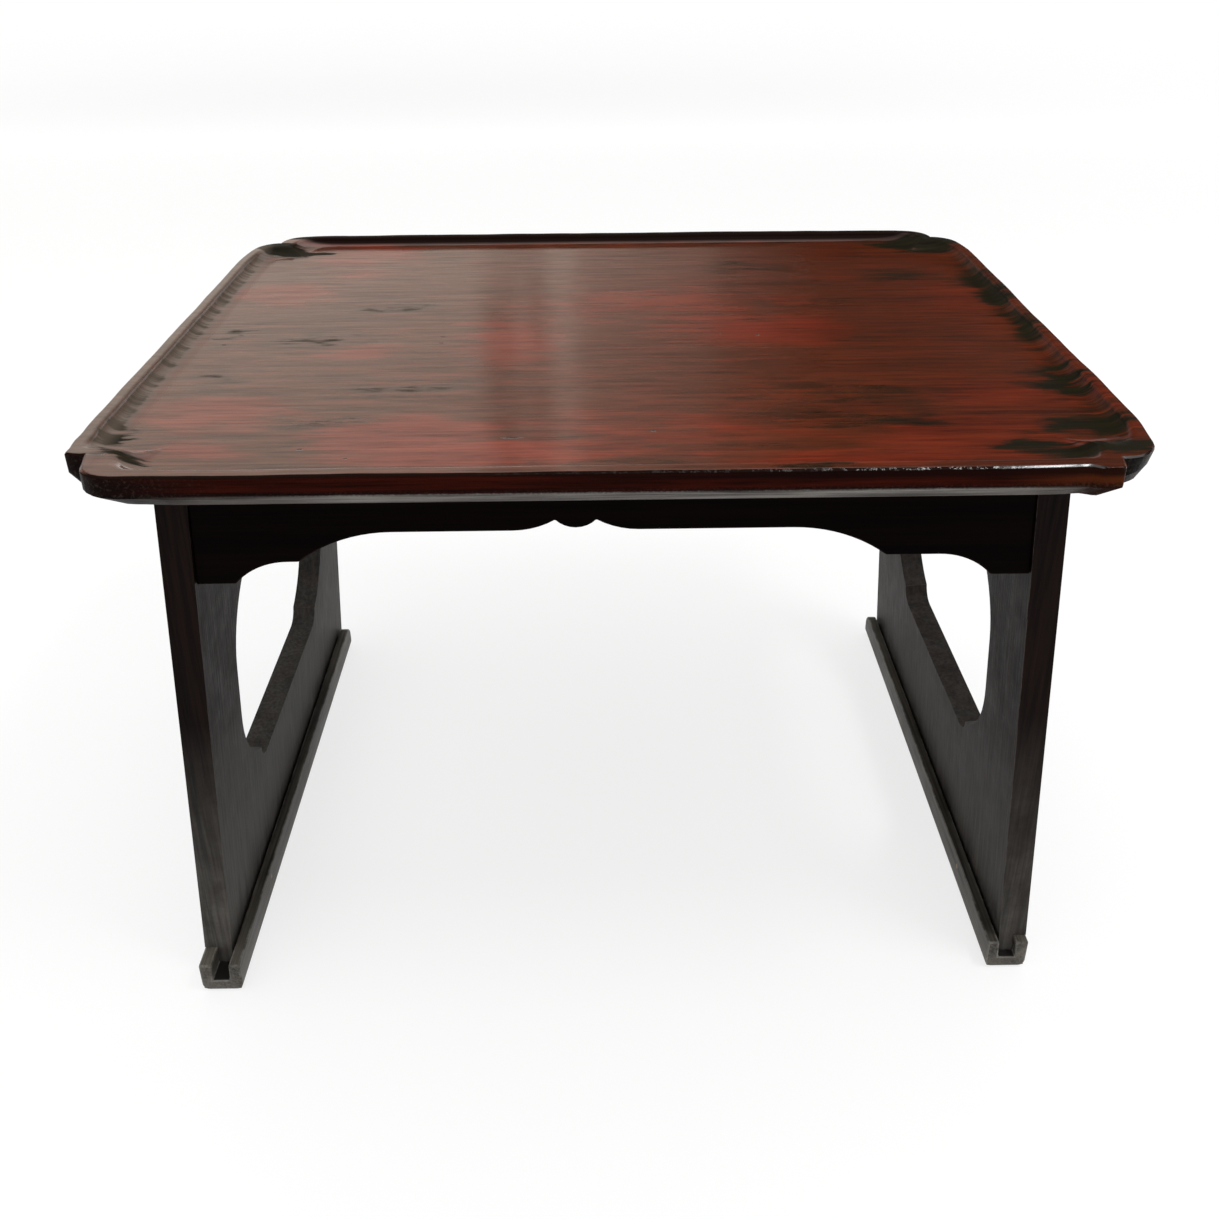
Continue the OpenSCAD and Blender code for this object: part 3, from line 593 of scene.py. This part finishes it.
left_crest = add(top_lacquer, "MapRange", {
    "Value": x, "From Min": -0.198, "From Max": -0.204, "To Max": 0.3})[0]
soft_rims = add(top_lacquer, "Math", {0: soft_arris, 1: left_crest}, operation="MAXIMUM")[0]
rough_film = add(top_lacquer, "Math", {0: film, 1: soft_rims}, operation="MAXIMUM")[0]
broken_part = add(top_lacquer, "MapRange", {"Value": whole_end, "To Min": 1.0, "To Max": 0.1})[0]
crumbled = add(top_lacquer, "Math", {0: front_arris, 1: broken_part}, operation="MULTIPLY")[0]
crumb_height = add(top_lacquer, "Math", {0: crumbs, 1: crumbled}, operation="MULTIPLY")[0]
crumb_dent = add(top_lacquer, "Bump", {
    "Height": crumb_height, "Strength": 0.5, "Distance": 0.0004, "Normal": pit_dent})[0]
top_shader = add(top_lacquer, "BsdfPrincipled", {
    "Base Color": coloured, "Roughness": 0.5, "Normal": pit_dent, "IOR": 1.5,
    "Specular IOR Level": 0.02, "Coat Weight": gloss, "Coat Roughness": rough_film,
    "Coat IOR": 1.5, "Coat Normal": crumb_dent})[0]
add(top_lacquer, "OutputMaterial", {0: top_shader})
top.data.materials.append(top_lacquer)

# Thicker, older lacquer on the sawn edge: dark red above, black and flecked with
# dust below, and a painted grey reflection of the floor on the bevel underneath.
edge_lacquer = new_finish("edge_lacquer")
place = add(edge_lacquer, "TexCoord")["Object"]
x, _, z = add(edge_lacquer, "SeparateXYZ", {0: place})
grain_place = add(edge_lacquer, "Mapping", {"Vector": place, "Scale": (18, 40, 700)})[0]
grain = add(edge_lacquer, "TexNoise", {
    "Vector": grain_place, "Scale": 1.0, "Detail": 4.0, "Roughness": 0.65})[0]
streak = add(edge_lacquer, "MapRange", {"Value": grain, "From Min": 0.35, "From Max": 0.65})[0]
speck = add(edge_lacquer, "TexNoise", {
    "Vector": place, "Scale": 760.0, "Detail": 4.0, "Roughness": 0.7})[0]
edge_red = add(edge_lacquer, "Mix", {
    0: streak, 6: shade("#130503"), 7: shade("#320d06")}, data_type="RGBA")[2]
right_end = add(edge_lacquer, "MapRange", {"Value": x, "From Min": 0.150, "From Max": 0.200})[0]
edge_end = add(edge_lacquer, "Mix", {
    0: right_end, 6: edge_red, 7: shade("#46200d")}, data_type="RGBA")[2]
# Crusted black along the top of the right half, and flecked with dust below
flecks = add(edge_lacquer, "MapRange", {"Value": speck, "From Min": 0.52, "From Max": 0.68})[0]
dusty = add(edge_lacquer, "Mix", {
    0: flecks, 6: shade("#0a0706"), 7: shade("#2c2520")}, data_type="RGBA")[2]
ragged_z = add(edge_lacquer, "Math", {0: speck, 1: 0.004, 2: z}, operation="MULTIPLY_ADD")[0]
upper = add(edge_lacquer, "MapRange", {
    "Value": z, "From Min": 0.2908, "From Max": 0.2926, "To Max": 0.85})[0]
right_half = add(edge_lacquer, "MapRange", {"Value": x, "From Min": -0.05, "From Max": 0.05})[0]
crusted = add(edge_lacquer, "Math", {0: upper, 1: right_half}, operation="MULTIPLY")[0]
edge_top = add(edge_lacquer, "Mix", {
    0: crusted, 6: edge_end, 7: shade("#100504")}, data_type="RGBA")[2]
low = add(edge_lacquer, "MapRange", {
    "Value": ragged_z, "From Min": 0.2912, "From Max": 0.2895, "To Max": 0.8})[0]
face = add(edge_lacquer, "Mix", {0: low, 6: edge_top, 7: dusty}, data_type="RGBA")[2]
# Painted grey reflection of the floor on the bevel, away from the corners
bevel_painted_reflection = add(edge_lacquer, "Mix", {
    0: streak, 6: shade("#3d3a38"), 7: shade("#726e6a")}, data_type="RGBA")[2]
ragged_bevel = add(edge_lacquer, "Math", {0: speck, 1: 0.0012, 2: z}, operation="MULTIPLY_ADD")[0]
under = add(edge_lacquer, "MapRange", {
    "Value": ragged_bevel, "From Min": 0.2882, "From Max": 0.2874})[0]
sideways = add(edge_lacquer, "Math", {0: x}, operation="ABSOLUTE")[0]
painted_reflection_run = add(edge_lacquer, "MapRange", {
    "Value": sideways, "From Min": 0.185, "From Max": 0.160})[0]
fainter = add(edge_lacquer, "MapRange", {
    "Value": x, "From Min": -0.180, "From Max": -0.100, "To Min": 0.4, "To Max": 1.0})[0]
painted_reflection_there = add(edge_lacquer, "Math", {0: painted_reflection_run, 1: fainter}, operation="MULTIPLY")[0]
at_bevel = add(edge_lacquer, "Math", {0: under, 1: painted_reflection_there}, operation="MULTIPLY")[0]
# Black again round the left end and in the right notch, and plain underneath
left_end = add(edge_lacquer, "MapRange", {
    "Value": x, "From Min": -0.150, "From Max": -0.195, "To Max": 0.85})[0]
right_notch = add(edge_lacquer, "MapRange", {"Value": x, "From Min": 0.196, "From Max": 0.201})[0]
notches = add(edge_lacquer, "Math", {0: left_end, 1: right_notch}, operation="MAXIMUM")[0]
cornered = add(edge_lacquer, "Mix", {0: notches, 6: face, 7: dusty}, data_type="RGBA")[2]
with_bevel = add(edge_lacquer, "Mix", {0: at_bevel, 6: cornered, 7: bevel_painted_reflection}, data_type="RGBA")[2]
below = add(edge_lacquer, "MapRange", {"Value": z, "From Min": 0.2816, "From Max": 0.2811})[0]
all_edge = add(edge_lacquer, "Mix", {
    0: below, 6: with_bevel, 7: shade("#150d0a")}, data_type="RGBA")[2]
edge_dent = add(edge_lacquer, "Bump", {"Height": speck, "Strength": 0.5, "Distance": 0.0004})[0]
edge_shader = add(edge_lacquer, "BsdfPrincipled", {
    "Base Color": all_edge, "Roughness": 0.34, "Normal": edge_dent, "IOR": 1.5,
    "Specular IOR Level": 0.015})[0]
add(edge_lacquer, "OutputMaterial", {0: edge_shader})
top.data.materials.append(edge_lacquer)

# The edge's lacquer covers what looks outwards or down, and the red what looks up
for face in top.data.polygons:
    outwards = face.normal.x * face.center.x + face.normal.y * face.center.y > 0
    if face.normal.z < -0.2 or outwards and face.normal.z < 0.45:
        face.material_index = 1
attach(top, "root")
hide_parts("tabletop")


# Pegs
# Split bamboo, whittled round and driven in, then lacquered over with the rest.
# The ends have kept a paler, fibrous brown, and some are stained darker.
peg_bamboo = new_finish("peg_bamboo")
place = add(peg_bamboo, "TexCoord")["Object"]
fibre = add(peg_bamboo, "TexNoise", {"Vector": place, "Scale": 1800.0, "Detail": 2.0})[0]
which = add(peg_bamboo, "TexNoise", {"Vector": place, "Scale": 31.0, "Detail": 0.0})[0]
stain = add(peg_bamboo, "MapRange", {"Value": which, "From Min": 0.4, "From Max": 0.62})[0]
bare = add(peg_bamboo, "Mix", {
    0: stain, 6: shade("#241812"), 7: shade("#8a6f4c")}, data_type="RGBA")[2]
split = add(peg_bamboo, "MapRange", {
    "Value": fibre, "From Min": 0.35, "From Max": 0.65, "To Min": 0.6, "To Max": 1.0})[0]
end = add(peg_bamboo, "Mix", {
    0: 1.0, 6: bare, 7: split}, data_type="RGBA", blend_type="MULTIPLY")[2]
dent = add(peg_bamboo, "Bump", {"Height": fibre, "Strength": 0.6, "Distance": 0.0001})[0]
peg_shader = add(peg_bamboo, "BsdfPrincipled", {
    "Base Color": end, "Roughness": 0.55, "Normal": dent, "IOR": 1.5})[0]
add(peg_bamboo, "OutputMaterial", {0: peg_shader})
for name in ("leg_pegs", "apron_pegs", "rail_pegs"):
    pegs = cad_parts[name]
    pegs.data.materials.clear()
    pegs.data.materials.append(peg_bamboo)


# Floor
# A wide sheet of white studio paper. It looks nearly white from every side and
# still takes a soft shadow.
FLOOR_SIZE = 60
bpy.ops.mesh.primitive_plane_add(size=FLOOR_SIZE, location=(0, 0, 0))
floor = bpy.context.object
floor.name = "studio_paper"
paper = new_finish("white_paper")
fibres = add(paper, "TexNoise", {"Scale": 900.0, "Detail": 2.0})[0]
tone = add(paper, "MapRange", {"Value": fibres, "To Min": 0.93, "To Max": 0.96})[0]
paper_shade = add(paper, "BsdfDiffuse", {"Color": tone})[0]
plain_white = add(paper, "Emission", {"Strength": 1.0})[0]
ray = add(paper, "LightPath")
mirrored = add(paper, "Math", {
    0: ray["Is Glossy Ray"], 1: ray["Is Transmission Ray"]}, operation="MAXIMUM")[0]
looked_at = add(paper, "Math", {0: ray["Is Camera Ray"], 1: mirrored}, operation="MAXIMUM")[0]
lifted = add(paper, "Math", {0: looked_at, 1: 0.75}, operation="MULTIPLY")[0]
paper_shader = add(paper, "MixShader", {0: lifted, 1: paper_shade, 2: plain_white})[0]
add(paper, "OutputMaterial", {0: paper_shader})
floor.data.materials.append(paper)


# Light
# A soft white dome overhead with a dim band lower down, as in a room with dark
# walls; a tall window behind on the left, whose bars show in the lacquer; and one
# small lamp high on the right that glints along the worn front arris.
BRIGHT, DIM = (1.0, 1.0, 1.0, 1), (0.012, 0.010, 0.008, 1)
world = bpy.data.worlds.new("studio")
bpy.context.scene.world = world
world.use_nodes = True
world.node_tree.nodes.clear()
direction = add(world, "TexCoord")["Generated"]
up = add(world, "SeparateXYZ", {0: direction})[2]
dome = add(world, "ValToRGB", {0: up}, stops=[
    (0.0, BRIGHT), (0.15, BRIGHT), (0.23, DIM), (0.50, DIM), (0.64, BRIGHT)])[0]
sky = add(world, "Background", {"Color": dome, "Strength": 1.5})[0]
add(world, "OutputWorld", {0: sky})

# The window is one upright sheet, bright at the left and barred, fading to the right
WINDOW_WIDTH, WINDOW_HEIGHT = 2.4, 1.35
WINDOW_X = -0.35
bpy.ops.mesh.primitive_plane_add(size=1, location=(0, 0, 0), rotation=(math.radians(90), 0, 0))
window = bpy.context.object
window.name = "window"
window.scale = (WINDOW_WIDTH, WINDOW_HEIGHT, 1)
bpy.ops.object.transform_apply(rotation=True, scale=True)
window.location = (WINDOW_X, 2.0, 1.22)
panes = new_finish("window_panes")
pane_place = add(panes, "TexCoord")["Object"]
pane_x, _, pane_z = add(panes, "SeparateXYZ", {0: pane_place})
pane_share = add(panes, "MapRange", {
    "Value": pane_x, "From Min": -WINDOW_WIDTH / 2, "From Max": WINDOW_WIDTH / 2})[0]
# How bright the panes and bars are at each x, and the same below the sill
bars = (
    (-1.5, 1.15), (-0.6, 1.0), (-0.274, 0.90), (-0.266, 0.40), (-0.202, 0.38), (-0.194, 0.78),
    (-0.170, 0.78), (-0.162, 0.40), (-0.128, 0.40), (-0.118, 0.88), (-0.067, 0.86), (-0.045, 0.50),
    (0.165, 0.30), (0.243, 0.24), (0.29, 0.12), (0.50, 0.0))
sill = (
    (-1.5, 1.05), (-0.6, 0.92), (-0.274, 0.85), (-0.20, 0.62), (-0.128, 0.58), (-0.118, 0.86),
    (-0.067, 0.84), (-0.045, 0.58), (0.165, 0.38), (0.243, 0.28), (0.29, 0.15), (0.50, 0.0))
barred, plain = (
    add(panes, "ValToRGB", {0: pane_share}, stops=[
        ((at - WINDOW_X + WINDOW_WIDTH / 2) / WINDOW_WIDTH, (level, 0.9 * level, 0.79 * level, 1))
        for at, level in levels])[0]
    for levels in (bars, sill))
above = add(panes, "MapRange", {"Value": pane_z, "From Min": -0.31, "From Max": -0.285})[0]
pane_light = add(panes, "Mix", {0: above, 6: plain, 7: barred}, data_type="RGBA")[2]
front_only = add(panes, "NewGeometry")["Backfacing"]
pane_strength = add(panes, "Math", {0: 1.0, 1: front_only}, operation="SUBTRACT")[0]
glow = add(panes, "Emission", {"Color": pane_light, "Strength": pane_strength})[0]
add(panes, "OutputMaterial", {0: glow})
window.data.materials.append(panes)

# The lamp's power is its brightness times pi times its area
LAMP_BRIGHTNESS = 28
LAMP_WIDTH, LAMP_DEPTH = 0.45, 0.2
lamp = bpy.data.lights.new("glint_lamp", "AREA")
lamp.shape = "RECTANGLE"
lamp.size, lamp.size_y = LAMP_WIDTH, LAMP_DEPTH
lamp.energy = LAMP_BRIGHTNESS * math.pi * LAMP_WIDTH * LAMP_DEPTH
lamp_holder = bpy.data.objects.new("glint_lamp", lamp)
bpy.context.collection.objects.link(lamp_holder)
lamp_at = Vector((0.71, -0.37, 1.68))
front_right_corner = Vector((0.2, -0.168, TOP_HEIGHT))
aim = (lamp_at - front_right_corner).to_track_quat("Z", "Y")
lamp_holder.matrix_world = Matrix.Translation(lamp_at) @ aim.to_matrix().to_4x4()


# Camera
# Stands in front of the table and a little above it, looking down at 26 degrees. Its
# frame is square, and the lens is centred on a row above the middle of the frame.
FRAME_SIDE = 1219
FOCAL_LENGTH, CENTRE_ROW = 1180, 450
FILM = 36.0
pitch, yaw, roll = 0.454492, -0.008874, 0.007857
turn = Matrix((
    (math.cos(yaw), math.sin(yaw), 0), (-math.sin(yaw), math.cos(yaw), 0), (0, 0, 1)))
ahead = Matrix(((1, 0, 0), (0, 0, -1), (0, 1, 0)))
tip = Matrix((
    (1, 0, 0), (0, math.cos(pitch), -math.sin(pitch)), (0, math.sin(pitch), math.cos(pitch))))
lean = Matrix((
    (math.cos(roll), math.sin(roll), 0), (-math.sin(roll), math.cos(roll), 0), (0, 0, 1)))
seen = lean @ tip @ ahead @ turn
camera_data = bpy.data.cameras.new("camera")
camera = bpy.data.objects.new("camera", camera_data)
bpy.context.collection.objects.link(camera)
turned = Matrix((seen[0], -seen[1], -seen[2])).transposed()
camera.matrix_world = Matrix.Translation((-0.00541, -0.56942, 0.50145)) @ turned.to_4x4()
camera_data.sensor_width = FILM
camera_data.lens = FILM * FOCAL_LENGTH / FRAME_SIDE
camera_data.shift_y = -(FRAME_SIDE / 2 - CENTRE_ROW) / FRAME_SIDE
camera_data.clip_end = 200.0
bpy.context.scene.camera = camera

bpy.context.scene.view_settings.view_transform = "Standard"
bpy.context.view_layer.update()
